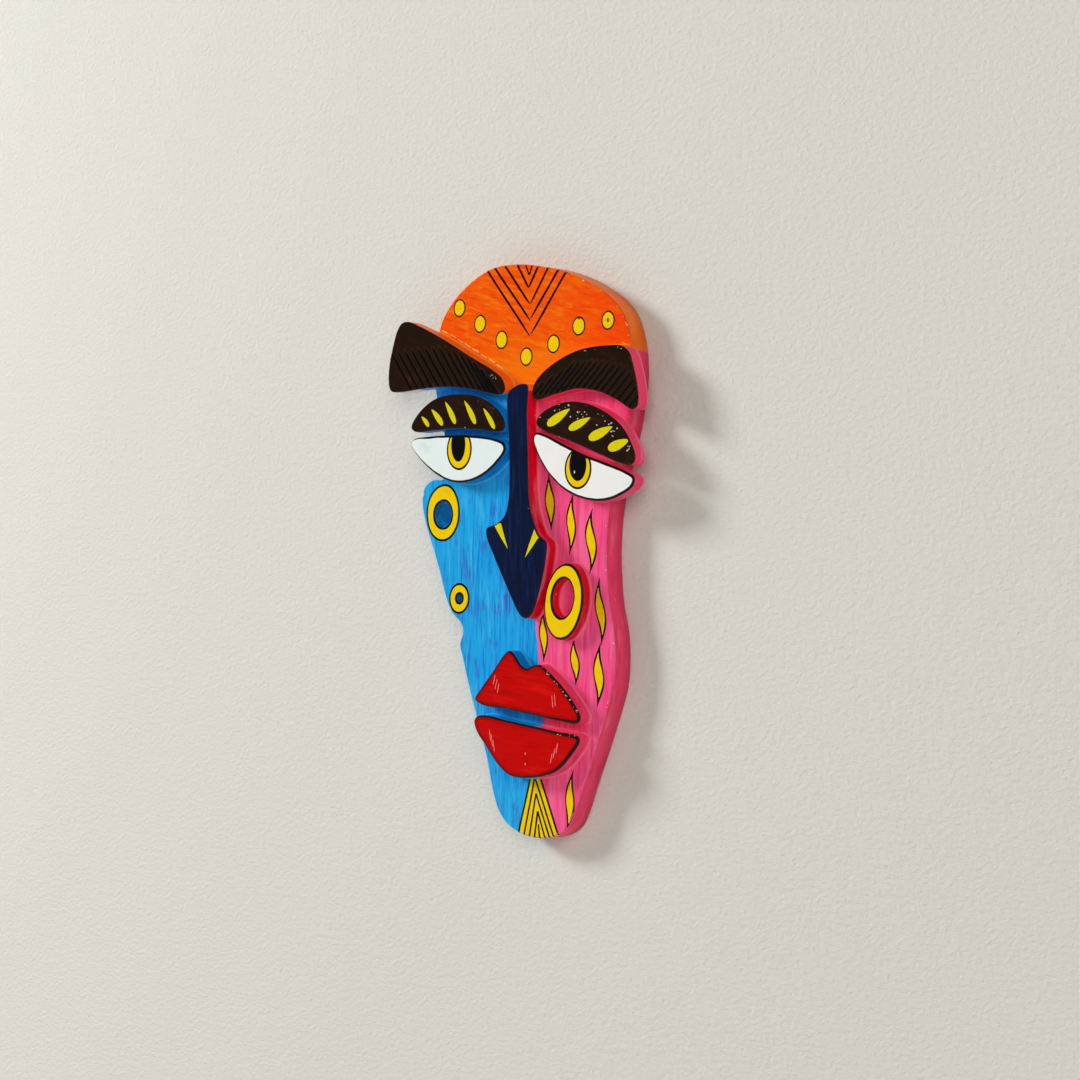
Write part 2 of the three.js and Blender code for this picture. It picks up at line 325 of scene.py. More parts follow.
# Painted rings on the left cheek, each with a shallow dish in its middle:
# the ring's centre and half sizes, the dish's centre and half sizes, and their lean.
LEFT_RINGS = [
    ((-64.3, 20.8), (13.2, 15.6), (-64.2, 19.9), (6.8, 7.1), -0.1),
    ((-51.5, -25.5), (8.0, 8.3), (-51.3, -25.4), (2.3, 2.2), 0),
]
DISH_DEPTH = 1.1
DISH_LIP = 1.05  # where its slope starts and how wide the slope is, in shares of the dish's size
DISH_SLOPE = 0.25


def dish(points):
    """Dish strength, 0 to 1, at each point of the board."""
    strength = np.zeros(len(points))
    for _, _, middle, hollow, lean in LEFT_RINGS:
        radius = oval_radius(points, middle, *hollow, lean)
        strength = np.maximum(strength, np.clip((DISH_LIP - radius) / DISH_SLOPE, 0, 1))
    return strength * strength * (3 - 2 * strength)


def oval_radius(points, centre, wide, high, lean):
    """1 on the oval, less inside it."""
    p = points - np.array(centre)
    x = p[:, 0] * math.cos(lean) + p[:, 1] * math.sin(lean)
    z = -p[:, 0] * math.sin(lean) + p[:, 1] * math.cos(lean)
    return np.hypot(x / wide, z / high)


def sunk(node, points):
    """How far, in mm, each point of a node's front lies under its flat plane."""
    depth = np.array([hand_carved(x, z) for x, z in points])
    if node.startswith("brow"):
        depth += GROOVE_DEPTH * grooves(node, points)
    if node == "face_board":
        depth += DISH_DEPTH * dish(points)
    return depth


# ---------------------------------------------------------------- meshes

SHARP = 38  # degrees between two faces, from which their edge stays sharp
NO_POINTS = np.zeros((0, 2))


class Body:
    """Vertices, faces and painted values of one piece, in mm."""

    def __init__(self):
        self.places, self.faces, self.slots = [], [], []
        self.values = {"rim": [], "groove": []}

    def points(self, plan, y, rim=0.0, groove=0.0):
        """Adds points over the plan and returns their numbers."""
        first, n = len(self.places), len(plan)
        y, rim, groove = (np.broadcast_to(v, n) for v in (y, rim, groove))
        self.places += [(p[0], h, p[1]) for p, h in zip(plan, y)]
        self.values["rim"] += list(rim)
        self.values["groove"] += list(groove)
        return list(range(first, first + n))

    def band(self, a, b, slot=0):
        """Quads between two closed rows of the same length."""
        n = len(a)
        self.faces += [(a[i], a[(i + 1) % n], b[(i + 1) % n], b[i]) for i in range(n)]
        self.slots += [slot] * n

    def cap(self, rows, loops, extra, y, rim=0.0, groove=0.0, slot=0):
        """Triangles between rows that are already there, with extra points inside."""
        triangles = fill(loops, extra)
        numbers = [i for row in rows for i in row]
        if len(extra):
            numbers += self.points(extra, y, rim, groove)
        self.faces += [tuple(numbers[v] for v in t) for t in triangles]
        self.slots += [slot] * len(triangles)

    def build(self, name, materials):
        """The piece itself, with smooth faces between its sharp edges."""
        mesh = bpy.data.meshes.new(name)
        mesh.from_pydata([tuple(c * MM for c in p) for p in self.places], [], self.faces)
        for key, values in self.values.items():
            layer = mesh.attributes.new(key, "FLOAT", "POINT")
            layer.data.foreach_set("value", np.array(values, np.float32))
        for m in materials:
            mesh.materials.append(m)
        mesh.polygons.foreach_set("material_index", self.slots)
        tidy = bmesh.new()
        tidy.from_mesh(mesh)
        bmesh.ops.recalc_face_normals(tidy, faces=tidy.faces)
        tidy.to_mesh(mesh)
        tidy.free()
        mesh.shade_smooth()
        mesh.set_sharp_from_angle(angle=math.radians(SHARP))
        return linked(name, mesh)


OUTLINE_STEP = 0.9
ROUND_STEPS = 5
BACK_ROUNDING = 0.35
WALL_STEP = 2.2
SUNK_FOOT = 0.5  # how far relief pieces reach into the board, so that no gap shows
POOL_START = 2.0  # over the board by this much, the corner has its full flare
FLARE = 1.0  # filler and paint pooled in the corner under a relief piece
FLARE_HEIGHT = 2.1
FLARE_STEPS = 6
WOBBLE, WOBBLE_SIZE = 0.14, 12  # of the hand-cut walls
WOBBLE_START = 3  # full from this far below the rounded edge
# Spacing across and down inside the flat fronts, and the turn of the rows, along the brows' grooves.
GRIDS = {"face_board": (1.9, 1.9, 0), "brow_left": (0.5, 0.9, 1.03), "brow_right": (0.5, 0.9, -0.75)}
RELIEF_GRID = (1.3, 1.3, 0)
BACK_GRID = (3, 3)
ARC = EDGE_ROUNDING * math.pi / 2  # the way over the rounded edge
OUTLINES = {}  # each plate's loops, kept as the plates are made


def wall_rows(front, back, flared):
    """Profile of a side wall, back to front: (outset, y, rim, share of the carving).

    rim is the way along the surface from the foot of the rounded front edge: below 0 down the wall.
    """
    top = front + EDGE_ROUNDING
    if flared:
        heights = [FLARE_HEIGHT * k / FLARE_STEPS for k in range(FLARE_STEPS + 1)]
        rows = [(FLARE, back)] + [(FLARE * (1 - h / FLARE_HEIGHT) ** 2, back - h) for h in heights]
    else:
        middle = 0.3 * BACK_ROUNDING
        rows = [(-BACK_ROUNDING, back), (-middle, back - middle), (0, back - BACK_ROUNDING)]
    start = rows[-1][1]
    count = max(2, int(round((start - top) / WALL_STEP)))
    rows += [(0, start + (top - start) * k / count) for k in range(1, count)]
    profile = [(outset, y, top - y, 0) for outset, y in rows]
    for k in range(ROUND_STEPS + 1):
        angle = math.pi / 2 * k / ROUND_STEPS
        inset = EDGE_ROUNDING * (1 - math.cos(angle))
        y = front + EDGE_ROUNDING * (1 - math.sin(angle))
        profile.append((-inset, y, EDGE_ROUNDING * angle, math.sin(angle)))
    return profile


def over_board(points):
    """1 where points lie well over the board, 0 at its edge and beyond it."""
    gap = clearance(points, OUTLINES["face_board"])
    return np.where(inside(points, OUTLINES["face_board"]), np.clip(gap / POOL_START, 0, 1), 0)


def thinned(points, gap):
    """Keeps one point in each square cell of that size."""
    cells = np.floor(points / gap).astype(int)
    _, first = np.unique(cells, axis=0, return_index=True)
    return points[np.sort(first)]


HEM_ROWS = (0.45, 0.95, 1.6)  # mm in from the edge of the flat front
HEM_END = 1.9
DISH_GRID = 0.7


def front_points(node, tops):
    """Points inside the flat front: close rows along its edge, then an even grid."""
    hem = [evenly(top - outward(top) * inset, 1.0) for top in tops for inset in HEM_ROWS]
    hem = np.vstack(hem)
    hem = hem[inside(hem, tops)]
    hem = thinned(hem[clearance(hem, tops) > 0.35], 0.3)
    even = grid(tops, *GRIDS.get(node, RELIEF_GRID))
    if node == "face_board":
        fine = grid(tops, DISH_GRID, DISH_GRID)
        on_slope = np.zeros(len(fine), bool)
        for _, _, middle, hollow, lean in LEFT_RINGS:
            radius = oval_radius(fine, middle, *hollow, lean)
            on_slope |= (radius > 0.7) & (radius < 1.2)
        even = np.vstack([even, fine[on_slope]])
    even = even[inside(even, tops)]
    even = even[clearance(even, tops) > HEM_END]
    return np.vstack([hem, thinned(even, 0.35)])


def plate(node, paint, bare):
    """A painted wooden plate on the CAD node's outline: rounded edges, carved front, hand-cut walls."""
    board = node == "face_board"
    brow = node.startswith("brow")
    front = plane(node, "front")
    back = plane(node, "back")
    loops = cad_loops(node, front + EDGE_ROUNDING, OUTLINE_STEP)
    OUTLINES[node] = loops
    body = Body()
    feet, tops = [], []
    for loop in loops:
        normal = outward(loop)
        rows = []
        pooled = np.ones(len(loop)) if board else over_board(loop)
        for k, (outset, y, rim, share) in enumerate(wall_rows(front, back, not board)):
            rough = min(1, max(0, -rim) / WOBBLE_START)
            wobble = rough * np.array([WOBBLE * soft(x + y, z, WOBBLE_SIZE, 5.5) for x, z in loop])
            spread = outset * pooled if outset > 0 else outset
            foot = k == 0 and not board
            if foot:
                spread = spread - BACK_ROUNDING * (1 - pooled)
            plan = loop + normal * (spread + wobble)[:, None]
            depth = sunk(node, plan) * share
            if foot:
                depth = SUNK_FOOT * pooled
            elif k == 1 and not board:
                depth = -0.5 * BACK_ROUNDING * (1 - pooled)
            groove = grooves(node, plan) * share if brow else 0
            rows.append((body.points(plan, y + depth, rim, groove), plan))
        for (a, _), (b, _) in zip(rows, rows[1:]):
            body.band(a, b)
        feet.append(rows[0])
        tops.append(rows[-1])

    edges = [plan for _, plan in tops]
    extra = front_points(node, edges)
    groove = grooves(node, extra) if brow else 0
    body.cap([row for row, _ in tops], edges, extra, front + sunk(node, extra),
             ARC + clearance(extra, edges), groove)

    if board:
        feet += pocket(body, back)
    edges = [plan for _, plan in feet]
    extra = grid(edges[:1], *BACK_GRID)
    extra = extra[inside(extra, edges)]
    extra = extra[clearance(extra, edges) > 1]
    rim = BOARD_FRONT - clearance(extra, edges[:1])
    body.cap([row for row, _ in feet], edges, extra, back, rim, slot=1)
    piece = body.build(node + "_wood", [paint, bare])
    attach(piece, "mask")
    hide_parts(node)
    return piece


def pocket(body, back):
    """The routed hanger pocket with its two screw holes. Returns its mouth as a row of the back."""
    mouth, *holes = cad_loops("face_board", POCKET_FLOOR, 0.8)
    mouth = turned(mouth, False)
    rounding = 0.4
    out = -outward(mouth) * rounding
    rim = 2 * BOARD_FRONT  # so far from the front's edge that no paint runs in
    rows = [(body.points(mouth - out, back, rim), mouth - out)]
    for y in (back - rounding, (back + POCKET_FLOOR) / 2, POCKET_FLOOR + rounding):
        rows.append((body.points(mouth, y, rim), mouth))
    rows.append((body.points(mouth + out, POCKET_FLOOR, rim), mouth + out))
    for (a, _), (b, _) in zip(rows, rows[1:]):
        body.band(a, b, 1)
    edges = [rows[-1]]
    for hole in holes:
        hole = turned(hole, True)
        top = body.points(hole, POCKET_FLOOR, rim)
        end = body.points(hole, SCREW_HOLE_END, rim)
        body.band(top, end, 1)
        body.cap([end], [hole], NO_POINTS, SCREW_HOLE_END, slot=1)
        edges.append((top, hole))
    body.cap([row for row, _ in edges], [plan for _, plan in edges], NO_POINTS, POCKET_FLOOR, slot=1)
    return [rows[0]]


# ---------------------------------------------------------------- coats of paint on the plates

FILM_ROOT = 0.3  # how far a coat reaches into the wood
FILM_EDGE = 0.06
NEAREST_TO_EDGE = 0.15
OVER_EDGE = 0.02  # for a coat that runs over the rounded edge
CLOSEST_POINTS = 0.08
COAT_GRID = 0.8


def surface(node, points):
    """The y, in mm, of a plate's front at each point, its rounded edge included."""
    short = np.clip(EDGE_ROUNDING - clearance(points, OUTLINES[node]), 0, EDGE_ROUNDING)
    fall = EDGE_ROUNDING - np.sqrt(EDGE_ROUNDING ** 2 - short ** 2)
    return plane(node, "front") + fall + sunk(node, points) * (1 - fall / EDGE_ROUNDING)


def held_in(points, loops, margin):
    """The points, with those beyond the margin from the loops' edges moved back to it."""
    moved = []
    for p in points:
        feet = []
        for loop in loops:
            span = np.roll(loop, -1, 0) - loop
            t = np.clip(((p - loop) * span).sum(1) / (span * span).sum(1), 0, 1)
            foot = loop + t[:, None] * span
            near = int(np.argmin(np.linalg.norm(foot - p, axis=1)))
            away = np.array([span[near, 1], -span[near, 0]]) / np.linalg.norm(span[near])
            feet.append((np.linalg.norm(foot[near] - p), foot[near], away))
        _, foot, away = min(feet, key=lambda f: f[0])
        p = foot - away * margin if (p - foot) @ away > -margin else p
        if not moved or np.linalg.norm(p - moved[-1]) > CLOSEST_POINTS:
            moved.append(p)
    if np.linalg.norm(moved[0] - moved[-1]) < CLOSEST_POINTS:
        moved.pop()
    return np.array(moved)


def coat(body, node, loops, lift, slot, margin=NEAREST_TO_EDGE, spacing=0.45):
    """A thin closed shell of paint with soft edges, which follows the plate under it."""
    loops = [uncrossed(evenly(held_in(loop, OUTLINES[node], margin), spacing)) for loop in loops]
    if min(len(loop) for loop in loops) < 4:
        return
    loops = [turned(loop, i == 0) for i, loop in enumerate(loops)]
    roots, tops = [], []
    for loop in loops:
        inner = drawn_in(loop, FILM_EDGE)
        root = body.points(loop, surface(node, loop) + FILM_ROOT)
        side = body.points(loop, surface(node, loop) - 0.5 * lift)
        top = body.points(inner, surface(node, inner) - lift)
        body.band(root, side, slot)
        body.band(side, top, slot)
        roots.append(root)
        tops.append((top, inner))
    plans = [plan for _, plan in tops]
    extra = grid(plans, COAT_GRID, COAT_GRID)
    extra = extra[inside(extra, plans)]
    extra = extra[clearance(extra, plans) > COAT_GRID / 2]
    height = surface(node, extra) - lift if len(extra) else 0
    body.cap([row for row, _ in tops], plans, extra, height, slot=slot)
    body.cap(roots, loops, NO_POINTS, 0, slot=slot)


def oval(centre, wide, high, lean=0.0, waver=0.03):
    """A hand-drawn oval from its half sizes."""
    angles = np.linspace(0, 2 * math.pi, 56, endpoint=False)
    x0, z0 = centre
    size = [1 + waver * soft(x0 + 9 * math.cos(a), z0 + 9 * math.sin(a), 7, 2.2) for a in angles]
    x, z = wide * np.cos(angles) * size, high * np.sin(angles) * size
    cosine, sine = math.cos(lean), math.sin(lean)
    return np.stack([x * cosine - z * sine, x * sine + z * cosine], 1) + np.array(centre)


def spine(a, b, count, sway):
    """Points from a to b and the direction to their left, the line swayed sideways by sway(t)."""
    a, b = np.array(a, float), np.array(b, float)
    t = (1 - np.cos(np.linspace(0, math.pi, count))) / 2
    way = (b - a) / np.linalg.norm(b - a)
    left = np.array([-way[1], way[0]])
    return t, a + t[:, None] * (b - a) + left * sway(t)[:, None], left


def ribbon(line, left, half):
    """The outline around a line with that half width at each point."""
    return np.vstack([line + left * half[:, None], (line - left * half[:, None])[::-1]])


def stroke(a, b, width, start=1.0, end=1.0):
    """A brush line whose ends have a share of its width."""
    shake = soft(a[0], a[1], 5, 1.7)
    t, line, left = spine(a, b, 24, lambda t: 0.25 * shake * np.sin(2 * math.pi * t))
    fade = 0.15
    taper = np.minimum(start + (1 - start) * t / fade, end + (1 - end) * (1 - t) / fade)
    unsteady = np.array([1 + 0.16 * soft(x, z, 4, 6.4) for x, z in line])
    return ribbon(line, left, width / 2 * np.clip(taper, 0.08, 1) * unsteady)


LEAF_TIP = 0.2  # half the width of the pen line that each end runs out in


def leaf(top, bottom, width, curl, tip=0.0):
    """A slim leaf with a slight S curve. tip is the share of its length left off at each end."""
    t, line, left = spine(top, bottom, 40, lambda t: -curl * np.sin(2 * math.pi * t))
    kept = (t >= tip) & (t <= 1 - tip)
    share = (t[kept] - tip) / (1 - 2 * tip)
    return ribbon(line[kept], left, width / 2 * np.sin(math.pi * share) ** 1.5 + LEAF_TIP)


DROP_FULLEST = 0.4  # the most that the shape of a drop reaches, by which its width is divided


def drop(tip, end, width, tighter=0.0):
    """A drop from its point to its round end, with its outline drawn in by tighter."""
    t, line, left = spine(tip, end, 30, lambda t: 0.25 * np.sin(math.pi * t))
    length = math.dist(tip, end)
    low, high = 2.2 * tighter / length, 1 - tighter / length
    kept = (t >= low) & (t <= high)
    share = (t[kept] - low) / (high - low)
    half = (width / 2 - tighter) * share ** 0.9 * np.sqrt(1 - share) / DROP_FULLEST
    return ribbon(line[kept], left, half + 0.04)


# Each ornament function draws on one body. The numbers are those of the body's paints.
BLACK, YELLOW, MARK = 0, 1, 2
UNDER, OVER = 0.07, 0.14  # how far the coats stand off the wood


def ringed(body, node, outer, inner, outer_margin=NEAREST_TO_EDGE, inner_margin=NEAREST_TO_EDGE):
    """A yellow coat on a wider black one, which shows as its outline."""
    coat(body, node, outer, UNDER, BLACK, outer_margin)
    coat(body, node, inner, OVER, YELLOW, inner_margin)


def board_line(body, outline, lift=OVER, slot=BLACK):
    """A coat on the board that may run over its rounded edge."""
    coat(body, "face_board", [outline], lift, slot, OVER_EDGE)


DOT, DOT_YELLOW = (4.6, 4.9), (3.8, 4.1)
FOREHEAD_DOTS = [
    (-51.5, 130.5), (-35.5, 120.5), (-19, 110.5), (-0.5, 100), (19.5, 105), (37.5, 112.5), (58, 113.5),
]
# Brown marks on the two right dots: place, half width, half height.
DOT_MARKS = [((58, 113.6), 0.8, 1.3), ((37.8, 116.2), 1, 0.5)]

# Each V of the forehead: top left, foot of the left leg, foot of the right leg, top right.
FOREHEAD_VS = [
    ((-30, 148.5), (2, 110.5), (3, 111.5), (29.5, 142.5)),
    ((-25, 150), (2.5, 118.5), (3, 120), (24.5, 145)),
    ((-18, 151), (2, 127.5), (2.5, 127.5), (17.5, 147.5)),
    ((-8.5, 151), (1, 136), (1.2, 136), (10, 149)),
    ((-1.5, 149), (1.5, 142.5), (1.6, 142.5), (5, 150)),
]


def forehead_ornament(body):
    for left, left_foot, right_foot, right in FOREHEAD_VS:
        width = 1.3 if math.dist(left, left_foot) > 10 else 0.95
        board_line(body, stroke(left, left_foot, width, end=0.4), UNDER)
        board_line(body, stroke(right, right_foot, width, end=0.3))
    for place in FOREHEAD_DOTS:
        ringed(body, "face_board", [oval(place, *DOT)], [oval(place, *DOT_YELLOW)])
    for place, wide, high in DOT_MARKS:
        coat(body, "face_board", [oval(place, wide, high, waver=0.2)], OVER + 0.05, MARK)


RING_LINE = 1.2  # widths of the black that shows round the yellow
LEAF_LINE = 0.85
IRIS_LINE = 1.1

# Leaves of the right cheek: top, bottom, width, curl.
LEAVES = [
    ((16, 38), (17.5, 8.5), 6.8, 0.4),
    ((33.5, 27), (30.5, -4), 6.4, 1.1),
    ((47, 19), (45, -14), 7.0, 1.6),
    ((52, -16), (53, -50), 6.4, 1.3),
    ((12, -32), (12, -58.5), 5.8, 0.6),
    ((34, -46.5), (35, -70.5), 6.0, 0.8),
    ((52.5, -49), (50, -81), 7.0, 1.2),
    ((33.5, -113.5), (28.5, -145), 6.2, 1.0),
]

# Chin stripes: left foot, apex, right foot. The first is the edge of the yellow.
CHIN_TOP = -118
CHIN_STRIPES = [
    ((-7.5, -152), (5.6, -108.5), (25, -152)),
    ((-3, -152), (5.8, -118), (21.5, -152)),
    ((1, -152), (6.8, -126.5), (18, -152)),
    ((5, -152), (8, -135.5), (14.5, -152)),
    ((9.8, -152), (8.5, -142), (9.8, -152)),
]


def cut(a, b, z):
    """The point on the line a-b at that height."""
    share = (z - a[1]) / (b[1] - a[1])
    return (a[0] + share * (b[0] - a[0]), z)


def cheek_ornament(body):
    line = RING_LINE
    for centre, (wide, high), middle, (hole_wide, hole_high), lean in LEFT_RINGS:
        outer = [oval(centre, wide, high, lean), oval(middle, hole_wide, hole_high, lean)]
        inner = [oval(centre, wide - line, high - line, lean),
                 oval(middle, hole_wide + line, hole_high + line, lean)]
        ringed(body, "face_board", outer, inner)
    for top, bottom, width, curl in LEAVES:
        inner = leaf(top, bottom, width - 2 * LEAF_LINE, curl, tip=0.15)
        ringed(body, "face_board", [leaf(top, bottom, width, curl)], [inner])
    (left, apex, right), *stripes = CHIN_STRIPES
    corners = [left, cut(apex, left, CHIN_TOP), cut(apex, right, CHIN_TOP), right]
    board_line(body, evenly(np.array(corners, float), 1), UNDER, YELLOW)
    board_line(body, stroke(corners[1], left, 1.2))
    board_line(body, stroke(corners[2], right, 1.2))
    for left, apex, right in stripes:
        board_line(body, stroke(apex, left, 1.15))
        if left != right:
            board_line(body, stroke(apex, right, 1.15), OVER + 0.02)


# Drops on the eyelids, tip first, and their widths.
LID_DROPS = {
    "eyelid_left": [
        ((-74, 73.5), (-67, 67), 3.4),
        ((-66, 77), (-56, 67), 4.2),
        ((-55, 80.5), (-46, 67), 4.2),
        ((-40, 80), (-30.5, 66), 4.2),
        ((-25.5, 75), (-16, 62.5), 3.8),
    ],
    "eyelid_right": [
        ((39.5, 70), (22, 62.3), 5.6),
        ((54, 64.5), (37.5, 59.3), 5.0),
        ((69, 59), (51.5, 53.6), 5.8),
        ((80.5, 51.8), (64.8, 47.8), 5.8),
    ],
}


def lid_ornament(body):
    for node, drops in LID_DROPS.items():
        for shape in drops:
            ringed(body, node, [drop(*shape)], [drop(*shape, tighter=0.35)], 1, 1)


# Each eye: iris centre, half width and half height, then the pupil's.
IRISES = {
    "eye_left": ((-43.4, 53.5), (9.7, 11), (-44, 56), (5.5, 9)),
    "eye_right": ((44.3, 38.9), (9.4, 10.4), (44.3, 41), (6, 8.4)),
}


def iris_ornament(body):
    line = IRIS_LINE
    for node, (centre, (wide, high), middle, pupil) in IRISES.items():
        outer = oval(centre, wide, high, waver=0.01)
        inner = oval(centre, wide - line, high - line, waver=0.01)
        ringed(body, node, [outer], [inner], 0.5, 1.3)
        coat(body, node, [oval(middle, *pupil, waver=0.01)], OVER + 0.06, BLACK, 0.6)
    # A small pale dot on the right iris: painted highlight, the glint of the light on the eye.
    coat(body, "eye_right", [oval((42, 37.3), 0.55, 0.9)], OVER + 0.13, MARK)


# Two bright flashes that narrow from the nostrils' shoulders to a point.
NOSE_FLASHES = [((-18, 14), (-11.5, 14), (-5.5, -1.5)), ((13.5, 10.5), (18, 6.5), (5.5, -6.5))]


def nose_ornament(body):
    for a, b, point in NOSE_FLASHES:
        a, b, point = np.array(a, float), np.array(b, float), np.array(point, float)
        bulge = (a + point) / 2 + 0.9 * (point - b) / np.linalg.norm(point - b)
        outline = np.vstack([a, b, point, bulge])
        inner = outline + 0.12 * (outline.mean(0) - outline)
        ringed(body, "nose", [evenly(outline, 0.5)], [evenly(inner, 0.5)], 0.6, 0.9)


# Light strokes on the lips: node, first stroke, step to the next, how many.
LIP_LIGHTS = [
    ("upper_lip", (-15.8, -65.5), (-17.2, -71), (1.5, -2.2), 3),
    ("upper_lip", (25.8, -75.5), (26.6, -82), (1.8, 0.9), 2),
    ("lower_lip", (-20.2, -94), (-19, -100.5), (1.4, -2.6), 3),
    ("lower_lip", (30, -99.5), (28.6, -105), (-2, -2.6), 3),
]


def lip_ornament(body):
    for node, (x0, z0), (x1, z1), (dx, dz), count in LIP_LIGHTS:
        for k in range(count):
            light = stroke((x0 + k * dx, z0 + k * dz), (x1 + k * dx, z1 + k * dz), 0.5, 0.2, 0.2)
            coat(body, node, [light], UNDER, 0)
    for z in (-105.8, -111):
        coat(body, "lower_lip", [oval((6.6, z), 0.35, 0.8)], UNDER, 0)


# Where paint has chipped off: node, left and right end of the stretch, how far in from the
# edge, how many, largest size.
CHIPPED = [
    ("eyelid_right", (16, 82), (0.8, 8.8), 40, 1.1),
    ("eyelid_left", (-30, -10), (1.6, 3.8), 3, 0.5),
    ("brow_left", (-24, -14), (1.2, 3.8), 5, 0.8),
    ("brow_right", (40, 75), (1, 2.8), 5, 0.8),
    ("upper_lip", (12, 46), (0.2, 1.5), 16, 0.8),
    ("lower_lip", (30, 46), (0.2, 1.6), 5, 0.8),
    ("nose", (-20, 20), (0.3, 1.8), 4, 0.5),
]


def fleck(centre, size, draw):
    """A small irregular chip."""
    angles = np.sort([draw.uniform(0, 2 * math.pi) for _ in range(7)])
    reach = np.array([size * draw.uniform(0.45, 1) for _ in angles])
    return np.array(centre) + np.stack([reach * np.cos(angles), 0.7 * reach * np.sin(angles)], axis=1)


def paint_chips(body):
    """Bare flecks near the upper edges that get knocked."""
    draw = random.Random(11)
    for node, (left, right), (least, most), count, size in CHIPPED:
        edge = OUTLINES[node][0]
        away = outward(edge)
        upper = np.flatnonzero((edge[:, 0] > left) & (edge[:, 0] < right) & (away[:, 1] > 0.1))
        for _ in range(count):
            at = upper[draw.randrange(len(upper))]
            centre = edge[at] - away[at] * draw.uniform(least, most)
            coat(body, node, [fleck(centre, draw.uniform(0.4, 1) * size, draw)], UNDER, 0, spacing=0.3)


# Pale broken lines on the orange: start, end, width, dashes.
PALE_LINES = [
    ((-66, 120.3), (-48, 111.5), 0.5, 3),
    ((-48, 111.3), (-17, 94.8), 0.75, 5),
    ((73.6, 105), (74.4, 99.2), 0.8, 2),
    ((69.5, 112), (73.5, 105.5), 0.6, 3),
    ((67, 101.5), (73.8, 99.4), 0.6, 2),
]


def pale_lines(body):
    draw = random.Random(5)
    for a, b, width, dashes in PALE_LINES:
        a, b = np.array(a, float), np.array(b, float)
        sideways = np.array([b[1] - a[1], a[0] - b[0]]) / np.linalg.norm(b - a)
        for k in range(dashes):
            start = a + (b - a) * (k + draw.uniform(0, 0.12)) / dashes
            end = a + (b - a) * (k + draw.uniform(0.85, 1)) / dashes
            aside = sideways * draw.uniform(-0.2, 0.2)
            dash = stroke(start + aside, end + aside, width * draw.uniform(0.5, 1.1), 0.3, 0.3)
            coat(body, "face_board", [dash], 0.05, 0, 0.4, spacing=0.35)


# ---------------------------------------------------------------- paints

def rgb(*screen):
    """A screen colour, 0 to 255, as linear light."""
    shares = [c / 255 for c in screen]
    return tuple(((s + 0.055) / 1.055) ** 2.4 if s > 0.04 else s / 12.92 for s in shares) + (1.0,)


class Value:
    """A shader value that can be added, subtracted and multiplied."""

    def __init__(self, paint, socket):
        self.paint = paint
        self.socket = socket

    def __add__(self, other):
        return self.paint.math("ADD", self, other)

    def __mul__(self, other):
        return self.paint.math("MULTIPLY", self, other)

    def __neg__(self):
        return self * -1

    def __sub__(self, other):
        return self + -other

    __radd__ = __add__
    __rmul__ = __mul__


PAINT_GLOSS = 0.25


class Paint:
    """A procedural material, with short names for the nodes that paint it."""

    def __init__(self, name):
        self.material = bpy.data.materials.new(name)
        self.material.use_nodes = True
        self.tree = self.material.node_tree
        self.shader = self.tree.nodes["Principled BSDF"]
        self.put(self.shader.inputs["Specular IOR Level"], PAINT_GLOSS)
        metres = self.node("ShaderNodeTexCoord").outputs["Object"]
        scaled = self.node("ShaderNodeVectorMath", {"Vector": metres, "Scale": 1 / MM}, operation="SCALE")
        self.place = scaled.outputs["Vector"]
        self.x, self.y, self.z = self.split(self.place)
        self.rim = Value(self, self.node("ShaderNodeAttribute", attribute_name="rim").outputs["Fac"])
        self.groove = Value(self, self.node("ShaderNodeAttribute", attribute_name="groove").outputs["Fac"])

    def node(self, kind, values=None, **settings):
        node = self.tree.nodes.new(kind)
        for key, value in settings.items():
            setattr(node, key, value)
        for key, value in (values or {}).items():
            self.put(node.inputs[key], value)
        return node

    def put(self, socket, value):
        value = value.socket if isinstance(value, Value) else value
        if isinstance(value, bpy.types.NodeSocket):
            self.tree.links.new(value, socket)
        else:
            socket.default_value = value

    def value(self, kind, values, **settings):
        """The first output of a new node."""
        return Value(self, self.node(kind, values, **settings).outputs[0])

    def split(self, vector):
        """The x, y and z of a vector."""
        return [Value(self, part) for part in self.node("ShaderNodeSeparateXYZ", {0: vector}).outputs]

    def math(self, what, a, b=0.0):
        return self.value("ShaderNodeMath", {0: a, 1: b}, operation=what)

    def ramp(self, value, low, high):
        """0 below low and 1 above high, or the other way round where low is above high."""
        values = {"Value": value, "From Min": low, "From Max": high}
        return self.value("ShaderNodeMapRange", values, interpolation_type="SMOOTHSTEP")

    def mix(self, share, a, b):
        return self.node("ShaderNodeMix", {0: share, 6: a, 7: b}, data_type="RGBA").outputs[2]

    def noise(self, size, turn=0.0, seed=0.0, detail=2.0):
        """Noise, 0 to 1, with features that are size mm wide. A size of three gives x, y and z sizes."""
        sizes = size if isinstance(size, tuple) else (size, size, size)
        values = {"Vector": self.place, "Location": (seed * 37, seed * 11, seed * 53),
                  "Rotation": (0, turn, 0), "Scale": sizes}
        where = self.node("ShaderNodeMapping", values, vector_type="TEXTURE").outputs[0]
        return self.value("ShaderNodeTexNoise", {"Vector": where, "Scale": 1.0, "Detail": detail})

    def brush(self, base, marks):
        """The base colour with streaks: (colour, noise size, turn, seed, from, to, strength)."""
        for colour, size, turn, seed, low, high, strength in marks:
            share = self.ramp(self.noise(size, turn, seed, 3), low, high) * strength
            base = self.mix(share, base, colour)
        return base

    def finish(self, colour, roughness, height, relief=0.12):
        """Links the colour, roughness and bump height. relief is the bump's depth in mm."""
        self.put(self.shader.inputs["Base Color"], colour)
        self.put(self.shader.inputs["Roughness"], roughness)
        bump = self.node("ShaderNodeBump", {"Height": height, "Distance": relief * MM, "Strength": 1.0})
        self.put(self.shader.inputs["Normal"], bump.outputs[0])
        return self.material


